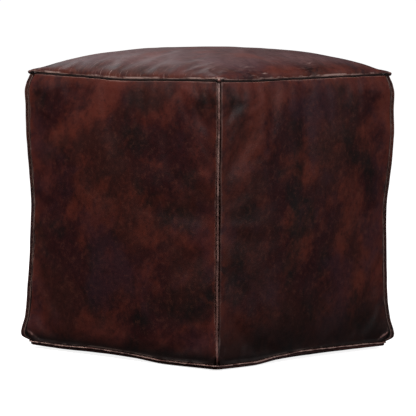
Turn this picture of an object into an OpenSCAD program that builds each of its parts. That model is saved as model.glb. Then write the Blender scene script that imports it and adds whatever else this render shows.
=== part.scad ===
// Square leather pouf: six sewn leather panels, folded welts in the seams, a zip in the underside,
// and a stuffed calico bag inside. Origin at the centre of the footprint, on the floor, +Z up.
// The zip runs along X, and the cover is the same on all four sides.

/* [Cover] */
// Distance between opposite corner seams at half height, measured along a side
seam_w = 372; // [340:1:440]
// Height of the top seam at its corners
top_seam_h = 414; // [340:1:460]
// Rise of the domed top above its seam
crown_h = 38; // [20:1:55]
// Height of the base seam above the floor
base_seam_h = 8; // [8:0.5:12]
// How far the middle of each side swells outwards
side_swell = 11; // [4:1:16]
// How far the lower corners flare outwards, along the diagonal
corner_flare = 13; // [0:1:16]
// How far the upper corners swell outwards, along the diagonal
shoulder_swell = 10.5; // [0:0.5:12]
// How far the top seam sags between its corners
top_seam_sag = 4; // [0:0.5:6]
// Thickness of the leather
leather_t = 2; // [1.4:0.1:2.4]

/* [Welts and stitching] */
// Thickness of a welt, a strip of leather folded double
welt_t = 3.5; // [2.5:0.1:4]
// How far the corner and base welts stand out of their seams
welt_proud = 3; // [1:0.5:5]
// Depth of the welt that is sewn in, behind the seam
welt_in = 8; // [8:0.5:10]
// Length of one stitch
stitch_l = 6; // [4:0.5:8]
// Space between two stitches
stitch_gap = 2; // [1:0.5:4]
// Thickness of the thread
thread_d = 0.8; // [0.5:0.1:1]

/* [Zip] */
// Length of the opening that the zip closes
zip_l = 300; // [200:2:310]
// Half width of the slot between the two base panels
slot_half = 8; // [7:0.5:10]
// Height of the leather beside the zip above the floor
valley_h = 4.5; // [4.5:0.1:5.5]
// Distance between two teeth of one row
tooth_pitch = 3; // [2.8:0.1:4]
// Length of the pull tab beyond its fork
tab_l = 22; // [14:1:30]

/* [Inside] */
// Thickness of the calico bag
bag_t = 0.8; // [0.6:0.1:1.2]

/* [Hidden] */

leather = [0.21, 0.09, 0.08];
worn_leather = [0.36, 0.22, 0.19];
thread = [0.12, 0.07, 0.06];
tape_cloth = [0.08, 0.07, 0.07];
metal = [0.55, 0.47, 0.33];
calico = [0.86, 0.82, 0.72];
wadding = [0.93, 0.92, 0.89];

cols = 12;                            // grid steps across a panel
air = 0.15;                           // gap between sewn pieces that touch
seam_gap = welt_t / 2 + air;          // from a seam's line to the panel beside its welt
edge_trim = seam_gap * sqrt(2);       // the same, along a side, at a mitred corner
flare_reach = 20;                     // how far across a side a lower corner's flare fades
shoulder_reach = 75;                  // the same for an upper corner's swell
welt_follow = 0.2;                    // how much wider a corner welt is in a flare, as a share of it
thread_follow = 0.25;                 // how much deeper the corner stitches are there
side_h = top_seam_h - base_seam_h;
flat_half = seam_w / 2 - 26;          // the part of the base that lies on the floor
valley_foot = 36;                     // where the slope beside the zip reaches the floor
valley_top = 16;                      // where that slope starts

bag_d = leather_t + 1;                // depth of the bag under the cover's surface

tape_t = 0.7;
tape_w = 14;
tape_z = valley_h + leather_t + 0.1 + tape_t / 2;   // the zip's middle plane
tooth = [1.2, 3.2, 2.4];
slider_l = 11;
slider_gap = tooth[2] + 0.7;          // room between the slider's two plates
plate_t = 0.8;
closed_x = zip_l / 2 - 10;            // the slider's centre with the zip closed
fork_bar_r = 0.7;
lug_drop = 1.8;                       // room under the slider for the pull's bar
pull_z = tape_z - slider_gap / 2 - plate_t - lug_drop / 2;
pull_reach = 7;                       // from the bar to the tab's near end
droop = asin((pull_z - fork_bar_r - 0.15) / (pull_reach + tab_l));

// Outward swell against height fraction, from the base seam (0) to the top seam (1).
MIDDLE_PROFILE = [[0, 0], [0.01, 0.25], [0.03, 0.5], [0.07, 0.7], [0.14, 0.83], [0.28, 0.94], [0.5, 1],
                  [0.72, 1], [0.84, 0.93], [0.92, 0.82], [0.96, 0.68], [0.985, 0.45], [1, 0.25]];
FLARE_PROFILE = [[0, 0.05], [0.01, 0.3], [0.022, 0.75], [0.037, 1], [0.054, 0.92], [0.089, 0.63],
                 [0.133, 0.36], [0.192, 0.21], [0.268, 0.13], [0.342, 0.05], [0.453, 0]];
SHOULDER_PROFILE = [[0.5, 0], [0.567, 0.15], [0.64, 0.42], [0.714, 0.69], [0.788, 0.88], [0.879, 0.98],
                    [0.941, 1.05], [0.97, 0.8], [0.99, 0.42], [1, 0.28]];

// Height fractions of the rows of a side's grid.
ROWS = [0, 0.01, 0.022, 0.037, 0.054, 0.07, 0.089, 0.11, 0.133, 0.16, 0.192, 0.268, 0.342, 0.42, 0.5,
        0.567, 0.64, 0.714, 0.788, 0.84, 0.879, 0.91, 0.941, 0.97, 0.985, 1];
rows = len(ROWS) - 1;

// ---- Shape of the cover ----

function flare_out(f) = corner_flare * lookup(f, FLARE_PROFILE);
function shoulder_out(f) = shoulder_swell * lookup(f, SHOULDER_PROFILE);

// Half width of the cover at a corner seam, at height fraction f and depth d under the surface.
function corner_half(f, d = 0) = seam_w / 2 + (flare_out(f) + shoulder_out(f)) / sqrt(2) - d;

// How far out the surface is at the share s (-1 to 1) of the way across a side.
function side_half(s, f, d = 0) =
    let (in = (1 - abs(s)) * seam_w / 2)
    seam_w / 2 - d + side_swell * lookup(f, MIDDLE_PROFILE) * (1 - pow(abs(s), 2.4))
        + (flare_out(f) * exp(-in / flare_reach) + shoulder_out(f) * exp(-in / shoulder_reach)) / sqrt(2);

// How far a side panel's edge keeps from the line of a corner seam, along the side. A flare turns the
// panel towards its welt, so the edge keeps further away there.
function panel_trim(f) =
    edge_trim / (1 - (flare_out(f) / flare_reach + shoulder_out(f) / shoulder_reach) / sqrt(2));

function seam_z(s, f) = base_seam_h + f * (side_h - top_seam_sag * (1 - s * s));

// Steps from -1 to 1 that crowd together at both ends.
function across(i, n) = sin(90 * (2 * i / n - 1));

// The heights of the rows, squeezed to stay clear of both seams by a distance.
function rise(j, clear) = clear / side_h + (1 - 2 * clear / side_h) * ROWS[j];

// A point of the front side.
function side_point(s, f, d = 0, trim = 0) =
    let (reach = corner_half(f, d) - trim)
    [s * reach, -side_half(s * reach / corner_half(f, d), f, d), seam_z(s, f)];

// A point of the domed top, at shares s and t across it.
function dome(s, t) = pow(max(0, (1 - s * s) * (1 - t * t)), 0.4);
function top_point(s, t, d = 0, trim = 0) =
    let (rim = seam_gap + max(0, leather_t - d) / 2)
    [s * side_half(t, 1, trim), t * side_half(s, 1, trim),
     top_seam_h + rim - top_seam_sag * (1 - s * s * t * t)
         + (crown_h + top_seam_sag - rim - d) * dome(s, t)];

// ---- Building blocks ----

// A sheet between two grids of (n + 1) x (m + 1) points.
module sheet(outer, inner, n, m) {
    count = (n + 1) * (m + 1);
    function at(i, j) = i * (m + 1) + j;
    function split(q) = [[q[0], q[1], q[2]], [q[0], q[2], q[3]]];
    quads = concat(
        [for (i = [0:n - 1], j = [0:m - 1]) [at(i, j), at(i, j + 1), at(i + 1, j + 1), at(i + 1, j)]],
        [for (i = [0:n - 1], j = [0:m - 1])
            [at(i, j) + count, at(i + 1, j) + count, at(i + 1, j + 1) + count, at(i, j + 1) + count]],
        [for (j = [0:m - 1]) [at(0, j + 1), at(0, j), at(0, j) + count, at(0, j + 1) + count]],
        [for (j = [0:m - 1]) [at(n, j), at(n, j + 1), at(n, j + 1) + count, at(n, j) + count]],
        [for (i = [0:n - 1]) [at(i + 1, m), at(i, m), at(i, m) + count, at(i + 1, m) + count]],
        [for (i = [0:n - 1]) [at(i, 0), at(i + 1, 0), at(i + 1, 0) + count, at(i, 0) + count]]);
    polyhedron(concat(outer, inner), [for (q = quads, face = split(q)) face]);
}

// A solid from rings of equal length, lowest first, each counter-clockwise from above, closed by
// fans round a foot point and a crown point.
module stack(rings, foot, crown) {
    n = len(rings[0]);
    last = len(rings) - 1;
    total = n * len(rings);
    function at(k, j) = k * n + (j % n);
    walls = [for (k = [0:last - 1], j = [0:n - 1]) each
        [[at(k, j), at(k + 1, j), at(k + 1, j + 1)], [at(k, j), at(k + 1, j + 1), at(k, j + 1)]]];
    polyhedron(concat([for (r = rings, p = r) p], [foot, crown]), concat(walls,
        [for (j = [0:n - 1]) [at(0, j), at(0, j + 1), total]],
        [for (j = [0:n - 1]) [at(last, j + 1), at(last, j), total + 1]]));
}

// A closed loop of a four-sided section: corners[k][j] is section corner k at step j round the loop.
module loop(corners) {
    n = len(corners[0]);
    function at(k, j) = (k % 4) * n + (j % n);
    polyhedron([for (c = corners, p = c) p],
        [for (k = [0:3], j = [0:n - 1]) each
            [[at(k, j), at(k, j + 1), at(k + 1, j + 1)], [at(k, j), at(k + 1, j + 1), at(k + 1, j)]]]);
}

// A round rod from p to q.
module rod(p, q, d) {
    v = q - p;
    translate(p) rotate([0, acos(v[2] / norm(v)), atan2(v[1], v[0])])
        cylinder(h = norm(v), d = d, $fn = 16);
}

function turned(p, quarter) =
    quarter == 0 ? p : turned([-p[1], p[0], p[2]], quarter - 1);

// ---- Leather panels ----

module side_panel(quarter) {
    function layer(d) = [for (i = [0:cols], j = [0:rows])
        side_point(across(i, cols), rise(j, seam_gap), d, panel_trim(rise(j, seam_gap)))];
    color(leather) rotate([0, 0, 90 * quarter]) sheet(layer(0), layer(leather_t), cols, rows);
}

module top_panel() {
    color(leather) sheet(
        [for (i = [0:cols], j = [0:cols]) top_point(across(i, cols), across(j, cols))],
        [for (i = [0:cols], j = [0:cols])
            top_point(across(i, cols), across(j, cols), leather_t, leather_t * 1.25)],
        cols, cols);
}

// Everything above the underside of the base, seen along one axis: flat, and rising to the seam.
// It reaches past the seam by extra and is raised by lift.
module above_floor(turn, lift, extra) {
    edge = corner_half(0);
    rim = base_seam_h - seam_gap - leather_t;
    slope = rim / (edge - flat_half);
    rotate([90, 0, turn]) translate([0, 0, -edge - extra]) linear_extrude(2 * (edge + extra)) polygon([
        [-edge - extra, rim + lift + slope * extra], [-flat_half, lift],
        [flat_half, lift], [edge + extra, rim + lift + slope * extra],
        [edge + extra, 30], [-edge - extra, 30]]);
}

// The long hump over the zip, raised by lift.
module valley(lift) {
    end = zip_l / 2 + 8;
    module ridge(turn, top, foot) {
        rotate([90, 0, turn]) translate([0, 0, -end - 30]) linear_extrude(2 * end + 60) polygon([
            [-foot, -1], [-foot, lift], [-top, valley_h + lift],
            [top, valley_h + lift], [foot, lift], [foot, -1]]);
    }
    intersection() {
        ridge(90, valley_top, valley_foot);
        ridge(0, end, end + 20);
    }
}

module base_panel(side) {
    reach = corner_half(0);
    color(leather) difference() {
        intersection() {
            above_floor(90, 0, 0);
            above_floor(0, 0, 0);
            translate([-reach, side < 0 ? -reach : air, -1]) cube([2 * reach, reach - air, 20]);
        }
        valley(0);
        difference() {
            intersection() {
                above_floor(90, leather_t, 1);
                above_floor(0, leather_t, 1);
            }
            valley(leather_t);
        }
        translate([-zip_l / 2 - 2, -slot_half, -1]) cube([zip_l + 4, 2 * slot_half, 20]);
    }
}

// ---- Welts ----

// A folded strip that runs round the cover in the seam at height fraction f.
module ring_welt(f, proud) {
    steps = [for (quarter = [0:3], i = [0:cols - 1]) [quarter, across(i, cols)]];
    function point(step, out, up) =
        let (reach = side_half(step[1], f) + out)
        turned([step[1] * (corner_half(f) + out), -reach, seam_z(step[1], f) + up], step[0]);
    color(leather) loop([
        [for (s = steps) point(s, -welt_in, -welt_t / 2)],
        [for (s = steps) point(s, -welt_in, welt_t / 2)],
        [for (s = steps) point(s, proud, welt_t / 2)],
        [for (s = steps) point(s, proud, -welt_t / 2)]]);
}

// A folded strip that stands in a corner seam, between the base welt and the top welt.
module corner_welt(quarter) {
    heights = [for (j = [0:rows]) rise(j, welt_t / 2 + 0.45)];
    function edge(f, out) = [corner_half(f) * sqrt(2) + out, base_seam_h + f * side_h];
    color(worn_leather) rotate([90, 0, 90 * quarter - 45]) translate([0, 0, -welt_t / 2])
        linear_extrude(welt_t) polygon(concat(
            [for (f = heights) edge(f, welt_proud)],
            [for (j = [rows:-1:0]) edge(heights[j], -welt_in - welt_follow * flare_out(heights[j]))]));
}

// ---- Stitching ----

stitch_pitch = stitch_l + stitch_gap;
thread_in = welt_in - 1.5;                      // depth of the stitches behind a seam
thread_off = welt_t / 2 + thread_d / 2 + 0.3;   // from a welt's middle to the thread beside it

// Stitches along the four sides of the top or base seam, over and under the welt.
module ring_stitches(f) {
    room = corner_half(f) - 14;
    count = floor(2 * room / stitch_pitch);
    function point(x, up) =
        let (s = x / corner_half(f))
        [x, -side_half(s, f) + thread_in, seam_z(s, f) + up];
    color(thread) for (quarter = [0:3], k = [0:count - 1], up = [-thread_off, thread_off]) {
        x = -room + k * stitch_pitch;
        rod(turned(point(x, up), quarter), turned(point(x + stitch_l, up), quarter), thread_d);
    }
}

// Stitches up the four corner seams, on both sides of each welt.
module corner_stitches() {
    low = 18;
    count = floor((side_h - 2 * low) / stitch_pitch);
    function point(h, off) =
        let (f = h / side_h, reach = corner_half(f) * sqrt(2) - thread_in - thread_follow * flare_out(f))
        [reach, off, base_seam_h + h];
    color(thread) for (quarter = [0:3], k = [0:count - 1], off = [-thread_off, thread_off]) {
        h = low + k * stitch_pitch;
        rotate([0, 0, 90 * quarter - 45]) rod(point(h, off), point(h + stitch_l, off), thread_d);
    }
}

// Two rows that sew the zip's tapes to the base panels, seen on the underside.
module zip_stitches() {
    pitch = 5;
    length = 3.5;
    count = floor(zip_l / pitch);
    color(thread) for (side = [-1, 1], k = [0:count - 1]) {
        x = -count * pitch / 2 + k * pitch;
        y = side * (slot_half + 2.5);
        rod([x, y, valley_h], [x + length, y, valley_h], thread_d);
    }
}

// ---- Zip ----

module zip_tape(side) {
    color(tape_cloth) translate([-zip_l / 2 - 6, side < 0 ? -tape_w - 2 : 2, tape_z - tape_t / 2])
        cube([zip_l + 12, tape_w, tape_t]);
}

// One row of teeth: the rows interlock, each half a pitch along from the other.
module zip_teeth(side) {
    start = -zip_l / 2 + 8;
    shift = side < 0 ? 0 : tooth_pitch / 2;
    count = floor((closed_x - start) / tooth_pitch);
    color(metal) for (k = [0:count - 1])
        translate([start + shift + k * tooth_pitch, side < 0 ? -tooth[1] + 0.6 : -0.6, tape_z - tooth[2] / 2])
            cube(tooth);
}

module zip_top_stops() {
    color(metal) for (y = [-3.7, 2.3])
        translate([closed_x + 1.6, y, tape_z - 1.1]) cube([2.4, 1.4, 2.2]);
}

module zip_bottom_stop() {
    color(metal) translate([-zip_l / 2 + 3, -2.6, tape_z - 1.2]) cube([3.6, 5.2, 2.4]);
}

// The slider's plates, rails and wedge, with the lug that holds the pull under it.
module zip_slider() {
    outline = [[-slider_l / 2, -3.9], [slider_l / 2 - 3, -5.2], [slider_l / 2, -4.2],
               [slider_l / 2, 4.2], [slider_l / 2 - 3, 5.2], [-slider_l / 2, 3.9]];
    rail_h = (slider_gap - tape_t - 0.7) / 2;
    rail_l = slider_l - 4.3;
    color(metal) translate([closed_x, 0, tape_z]) {
        for (z = [-slider_gap / 2 - plate_t, slider_gap / 2])
            translate([0, 0, z]) linear_extrude(plate_t) polygon(outline);
        for (side = [-1, 1], z = [-slider_gap / 2 - 0.1, slider_gap / 2 + 0.1 - rail_h])
            translate([-slider_l / 2, side < 0 ? -3.9 : 3.1, z]) cube([rail_l, 0.8, rail_h]);
        translate([0, 0, -slider_gap / 2 - 0.1]) linear_extrude(slider_gap + 0.2)
            polygon([[1.4, 0], [3, -1.5], [4.4, -1.2], [4.4, 1.2], [3, 1.5]]);
        translate([0, 1, -slider_gap / 2 - plate_t]) rotate([90, 0, 0]) linear_extrude(2) polygon([
            [-4, 0.1], [-4, -1.4], [-2.6, -lug_drop - 1], [2.6, -lug_drop - 1], [4, -1.4], [4, 0.1],
            [2.8, 0.1], [2.8, -1], [2, -lug_drop], [-2, -lug_drop], [-2.8, -1], [-2.8, 0.1]]);
    }
}

// The pull: a bar through the slider's lug, two arms and a tab with a slot, trailing towards -X.
module zip_pull() {
    color(metal) translate([closed_x, 0, pull_z]) rotate([0, -droop, 0]) {
        translate([0, 3, 0]) rotate([90, 0, 0]) cylinder(h = 6, r = fork_bar_r, $fn = 32);
        for (y = [-3, 1.5]) {
            translate([-pull_reach - 1, y, -fork_bar_r]) cube([pull_reach + 1, 1.5, 2 * fork_bar_r]);
            translate([0, y + 1.5, 0]) rotate([90, 0, 0]) cylinder(h = 1.5, r = fork_bar_r, $fn = 32);
        }
        translate([-pull_reach, 0, -fork_bar_r]) linear_extrude(2 * fork_bar_r) difference() {
            union() {
                translate([-tab_l + 4, -4]) square([tab_l - 4, 8]);
                translate([-tab_l + 4, 0]) circle(r = 4, $fn = 48);
            }
            translate([-tab_l + 4, 0]) circle(r = 2, $fn = 32);
        }
    }
}

// ---- Inside ----

// The form inside the cover at depth d, with a flat bottom at height floor_z. It is cut back at the
// corners and seams to clear the welts.
module filled_form(d, floor_z) {
    clear = welt_t / 2 + d - bag_d + 0.4;
    cut = 1 - sqrt(2) * (welt_in + 1.4 + d - bag_d - d * sqrt(2)) / corner_half(0, d);
    function ring(points) = [for (q = [0:3], p = points) turned(p, q)];
    shares = [for (i = [0:cols]) cut * across(i, cols)];
    function side_ring(f, depth) = ring([for (s = shares) side_point(s, f, depth)]);
    function shelf(f, up) =
        let (half = corner_half(f) - welt_in - d)
        ring([for (s = shares) [s * half, -half, seam_z(s, f) + up]]);
    function top_ring(k) = ring([for (s = shares) top_point(s * k, -k, d, welt_in + d - 2)]);
    stack(concat(
        [ring([for (s = shares) [s * (flat_half - 4 - d), 4 + d - flat_half, floor_z]])],
        [shelf(0, clear)],
        [side_ring(rise(0, clear + 2), d + 0.5)],
        [for (j = [1:rows - 1]) side_ring(rise(j, clear + 2), d)],
        [side_ring(rise(rows, clear + 2), d + 0.5)],
        [shelf(1, -clear)],
        [for (j = [1:7]) top_ring(cos(90 * j / 8))]),
        [0, 0, floor_z], top_point(0, 0, d));
}

// The hollow over the zip, at depth extra above it.
module zip_hollow(extra) {
    far = seam_w;
    foot = valley_foot + 14 + 4 * extra;
    rotate([90, 0, 90]) translate([0, 0, -far]) linear_extrude(2 * far) polygon([
        [-foot, 0], [-valley_top - 2, tape_z + 0.9 + extra],
        [-slot_half, tape_z + 0.9 + extra], [-6.5 - extra, tape_z + slider_gap / 2 + plate_t + 0.5 + extra],
        [6.5 + extra, tape_z + slider_gap / 2 + plate_t + 0.5 + extra], [slot_half, tape_z + 0.9 + extra],
        [valley_top + 2, tape_z + 0.9 + extra], [foot, 0]]);
}

// The bag, with the slit that it was filled through, beside the zip.
module inner_bag() {
    slit = [160, 0.6, 4];
    color(calico) difference() {
        filled_form(bag_d, leather_t + 0.5);
        zip_hollow(0);
        difference() {
            filled_form(bag_d + bag_t, leather_t + 0.5 + bag_t);
            zip_hollow(bag_t);
        }
        translate([-slit[0] / 2, 80, 1]) cube(slit);
    }
}

module stuffing() {
    color(wadding) difference() {
        filled_form(bag_d + bag_t + 0.3, leather_t + 0.8 + bag_t);
        zip_hollow(bag_t + 0.3);
    }
}

// ---- Nodes ----

top_panel();
side_panel(0);  // side_panel_front
side_panel(1);  // side_panel_right
side_panel(2);  // side_panel_back
side_panel(3);  // side_panel_left
base_panel(-1);  // base_panel_front
base_panel(1);  // base_panel_back
ring_welt(1, 0.5);  // top_welt
ring_welt(0, welt_proud);  // base_welt
corner_welt(0);  // corner_welt_front_right
corner_welt(1);  // corner_welt_back_right
corner_welt(2);  // corner_welt_back_left
corner_welt(3);  // corner_welt_front_left
ring_stitches(1);  // top_seam_stitches
ring_stitches(0);  // base_seam_stitches
corner_stitches();  // corner_seam_stitches
zip_stitches();  // zip_seam_stitches
zip_tape(-1);  // zip_tape_front
zip_tape(1);  // zip_tape_back
zip_teeth(-1);  // zip_teeth_front
zip_teeth(1);  // zip_teeth_back
zip_top_stops();
zip_bottom_stop();
zip_slider();
zip_pull();
inner_bag();
stuffing();
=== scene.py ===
"""Square leather pouf: sewn and stuffed leather panels with folded welts, and a zip in the underside."""
import math

import bpy
import numpy as np
from mathutils import Matrix, Vector


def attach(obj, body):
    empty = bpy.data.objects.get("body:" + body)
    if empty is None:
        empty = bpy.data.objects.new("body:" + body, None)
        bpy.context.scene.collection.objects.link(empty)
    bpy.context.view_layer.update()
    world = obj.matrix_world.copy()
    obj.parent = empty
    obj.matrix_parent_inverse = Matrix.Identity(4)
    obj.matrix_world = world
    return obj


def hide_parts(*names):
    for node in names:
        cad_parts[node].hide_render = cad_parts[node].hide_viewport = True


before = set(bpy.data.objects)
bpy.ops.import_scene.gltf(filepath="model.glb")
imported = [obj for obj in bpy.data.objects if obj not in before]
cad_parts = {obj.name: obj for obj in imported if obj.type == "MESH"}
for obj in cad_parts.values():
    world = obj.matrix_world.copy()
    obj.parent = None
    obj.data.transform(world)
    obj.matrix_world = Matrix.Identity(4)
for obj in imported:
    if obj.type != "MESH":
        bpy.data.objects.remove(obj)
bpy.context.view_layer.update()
scene = bpy.context.scene

# ---- Sizes, in metres, in the part's own frame ----

MM = 0.001
ROOT2 = math.sqrt(2)
QUARTER = math.pi / 2
SEAM_W = 372 * MM          # between opposite corner seams, along a side
TOP_Z = 414 * MM           # top seam, at its corners
CROWN = 40 * MM            # rise of the top above its seam
BASE_Z = 8 * MM            # base seam, at its corners
SWELL = 11 * MM            # bulge of a side
FLARE = 14 * MM            # flare of the lower corners, along the diagonal
SHOULDER = 10.5 * MM       # swell of the upper corners, along the diagonal
LEATHER = 2 * MM
SIDE_H = TOP_Z - BASE_Z
HALF = SEAM_W / 2
EDGE = 192.5 * MM          # from the middle to the base seam
ROUND = 11 * MM            # radius of the base seam's corners
EAR_H, EAR_L = 17 * MM, 32 * MM    # the fold under a lower corner: its height and its reach along a side
TOP_EAR = 4.2 * MM         # how far the top's corners stand out past the side's, along each side
TUCK_H = 6 * MM            # height over which the rest of a side turns in to the base seam
WELT_HALF = 1.25 * MM      # half thickness of a corner welt
WELT_PROUD = 3 * MM        # how far it stands out of the seam's line
WELT_IN = 8 * MM           # and how far it goes in
FLAT_HALF = HALF - 26 * MM     # half of the square of the base that lies on the floor
VALLEY_FOOT, VALLEY_TOP = 36 * MM, 16 * MM     # from the zip's line to the edges of the hollow that it lies in
VALLEY_H = 4.5 * MM        # depth of the hollow
SLOT_HALF = 8 * MM         # half width of the slot over the zip
ZIP_HALF = 150 * MM        # half length of the slot
TAPE_Z = 6.95 * MM         # height of the zip's tapes
PANEL_R = 1.5 * MM         # roll of a side panel's edge
TOP_R = 2.1 * MM           # roll of the top panel's edge
BASE_R = 2.1 * MM          # roll of a base panel's outer edge
ZIP_R = 0.9 * MM           # roll of a base panel's edge along the zip
GROOVE = 1.45 * MM         # from a corner seam's middle to the tucked leather beside it
TOP_GAP = 0.9 * MM         # the same for the top seam
BASE_GAP = 1.2 * MM        # and for the base seam
LEFT_R = (PANEL_R, 2.3 * MM, PANEL_R, PANEL_R)       # roll of each side panel's left-hand edge
RIGHT_GAP = (0.95 * MM, GROOVE, GROOVE, GROOVE)      # groove beside its right-hand edge
EAR_DEPTH = (0.15, 1.0, 1.0, 1.0)      # how sharp the folds under each lower corner are
FLARE_REACH, SHOULDER_REACH = 20 * MM, 75 * MM     # how fast the corners' flare and swell fade along a side
SWELL_POWER = 2.4          # how evenly a side's swell spreads across it
TUCK = 6 * MM              # length of leather turned into a seam
CREST = 0.34               # share of a roll at which the leather is painted palest, rubbed pale with a painted highlight
STUFFING_PRESSURE, SLACK, MOST_MOVE = 3.5, 0.03, 5 * MM      # how the stuffing settles a panel

# Every list of four goes round in this order; a corner comes with the side to its left.
SIDES = ["front", "right", "back", "left"]
CORNERS = ["front_right", "back_right", "back_left", "front_left"]


def smooth_curve(table):
    """A smooth monotone curve through (x, y) points."""
    x, y = np.array(table, float).T
    slope = np.diff(y) / np.diff(x)
    mid = np.zeros(len(x))
    same = slope[:-1] * slope[1:] > 0
    mid[1:-1][same] = 2 * slope[:-1][same] * slope[1:][same] / (slope[:-1] + slope[1:])[same]
    mid[0], mid[-1] = slope[0], slope[-1]

    def value(q):
        q = np.clip(q, x[0], x[-1])
        k = np.clip(np.searchsorted(x, q) - 1, 0, len(x) - 2)
        h = x[k + 1] - x[k]
        t = (q - x[k]) / h
        return (y[k] * (1 + 2 * t) * (1 - t) ** 2 + mid[k] * h * t * (1 - t) ** 2
                + y[k + 1] * t * t * (3 - 2 * t) + mid[k + 1] * h * t * t * (t - 1))
    return value


# Outward swell against height share, from the base seam (0) to the top seam (1).
MIDDLE = smooth_curve([
    (0, 0.5), (0.03, 0.58), (0.07, 0.7), (0.14, 0.83), (0.28, 0.94), (0.5, 1), (0.72, 1), (0.84, 0.93),
    (0.92, 0.82), (0.96, 0.68), (0.985, 0.45), (1, 0.25)])
FLARED = smooth_curve([
    (0, 1), (0.046, 1), (0.062, 0.9), (0.09, 0.66), (0.133, 0.43), (0.157, 0.35), (0.232, 0.22), (0.343, 0.1),
    (0.453, 0.04), (0.52, 0), (1, 0)])
SHOULDERED = smooth_curve([
    (0, 0), (0.5, 0), (0.567, 0.17), (0.64, 0.44), (0.714, 0.7), (0.788, 0.9), (0.861, 0.93), (0.931, 1.06),
    (0.964, 0.81), (0.985, 0.45), (1, 0.2)])
# The corner welts turn in under the lower corners.
WELT_FOOT = smooth_curve([
    (0, 0), (0.006, 0.35), (0.012, 0.72), (0.0205, 1.03), (0.033, 1.1), (0.05, 1.02), (0.08, 1), (1, 1)])
# Extra swell of each corner seam in mm, against height share.
CORNER_MORE = [smooth_curve(t) for t in (
    [(0, 0), (1, 0)],
    [(0, 0), (0.2, 0.4), (0.4, 1), (0.55, 1.6), (0.68, 2.7), (0.78, 2.2), (0.88, 0.5), (0.95, 0), (1, 0)],
    [(0, 0), (0.3, 1), (0.6, 0.5), (0.8, 1.5), (0.95, 0), (1, 0)],
    [(0, 0), (0.06, 0.3), (0.2, 2.6), (0.32, 1.4), (0.47, 1), (0.6, 0), (0.75, -0.7), (0.9, 0), (1, 0)])]
# Rise of the base seam and of the top seam in mm, along each side from left (-1) to right (1).
BASE_WAVE = [smooth_curve(t) for t in (
    [(-1, 2.5), (-0.64, 1.5), (-0.25, 3.5), (0.13, 2), (0.47, -1.5), (0.83, -0.5), (1, 0)],
    [(-1, 0), (-0.6, -1), (-0.3, 3), (0.02, 5.5), (0.5, 4), (1, 1.5)],
    [(-1, 1.5), (-0.4, 3), (0.2, 1.5), (0.6, 3), (1, 0.5)],
    [(-1, 0.5), (-0.3, 2.5), (0.3, 4), (1, 2.5)])]
TOP_WAVE = [smooth_curve(t) for t in (
    [(-1, -1), (-0.46, -2.2), (0, -4.1), (0.4, -1.4), (0.82, 0.5), (1, 1)],
    [(-1, 1), (-0.67, -0.9), (-0.17, -0.5), (0.17, -0.4), (0.5, -0.1), (1, -0.6)],
    [(-1, -0.6), (-0.3, -3), (0.3, -3.5), (1, 0)],
    [(-1, 0), (-0.2, -3.5), (0.4, -2), (1, -1)])]


def corner_out(f, q=0):
    """How far the corner seam after side q stands out along the diagonal at height share f."""
    return FLARE * FLARED(f) + SHOULDER * SHOULDERED(f) + CORNER_MORE[q % 4](f) * MM


def corner_line(f, q=0):
    """The same, along either side, from the middle of the pouf."""
    return HALF + corner_out(f, q) / ROOT2


def ease(value, low, high):
    """0 below low, 1 above high, smooth between."""
    t = np.clip((value - low) / (high - low), 0, 1)
    return t * t * (3 - 2 * t)


def waves(points, size, seed, count=28):
    """Smooth noise of about -1 to 1 at 3-D points, with features of about the given size."""
    rng = np.random.default_rng(seed)
    total = np.zeros(points.shape[:-1])
    for _ in range(count):
        way = rng.normal(size=3)
        way *= 2 * math.pi / (size * rng.uniform(0.6, 1.8)) / np.linalg.norm(way)
        total += np.sin(points @ way + rng.uniform(0, 2 * math.pi))
    return total * math.sqrt(2 / count) * 0.6


# ---- Meshes ----

def new_mesh(name, co, faces):
    mesh = bpy.data.meshes.new(name)
    mesh.from_pydata([tuple(p) for p in co], [], faces)
    mesh.polygons.foreach_set("use_smooth", [True] * len(mesh.polygons))
    mesh.update()
    obj = bpy.data.objects.new(name, mesh)
    scene.collection.objects.link(obj)
    return obj


def put_attribute(obj, name, values):
    """Stores one number a point, for the materials."""
    layer = obj.data.attributes.new(name, "FLOAT", "POINT")
    layer.data.foreach_set("value", np.asarray(values, np.float32))


def grid_faces(n, m):
    """Quads of an n by m grid of points, facing along (first axis) x (second axis)."""
    i, j = np.meshgrid(np.arange(n - 1), np.arange(m - 1), indexing="ij")
    a = (i * m + j).ravel()
    return np.stack([a, a + m, a + m + 1, a + 1], 1)


def grid_normals(p):
    """Unit normals of a grid of points, by differences."""
    return unit(np.cross(np.gradient(p, axis=0), np.gradient(p, axis=1)))


def crowd(n, c=0.75):
    """n shares from -1 to 1 that crowd a little at both ends."""
    k = np.linspace(-1, 1, n)
    return np.sin(k * math.pi / 2 * c) / math.sin(math.pi / 2 * c)


def turned(p, quarter):
    """Points turned about Z by quarter turns, from the front towards the right."""
    for _ in range(quarter % 4):
        p = np.stack([-p[..., 1], p[..., 0], p[..., 2]], -1)
    return p


def unit(v):
    return v / np.maximum(np.linalg.norm(v, axis=-1, keepdims=True), 1e-12)


def edge_distance(grid):
    """Distance of each point of a grid from the nearest end of its row or column."""
    ends = grid[:, :1], grid[:, -1:], grid[:1], grid[-1:]
    return np.minimum.reduce([np.linalg.norm(grid - end, axis=-1) for end in ends])


DIAGONAL = 1 / ROOT2
# The way into the seam at the low, right, high and left edge of a side panel and of the top panel.
SIDE_ROLLS = [(0, 1, 0), (-DIAGONAL, DIAGONAL, 0), (0, 1, 0), (DIAGONAL, DIAGONAL, 0)]
TOP_ROLLS = [(0, 1, 0), (-1, 0, 0), (0, -1, 0), (1, 0, 0)]
SEAM_NEAR, RIM_NEAR = 12 * MM, 35 * MM     # how fast closeness to a seam fades, for wear and for tone


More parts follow.
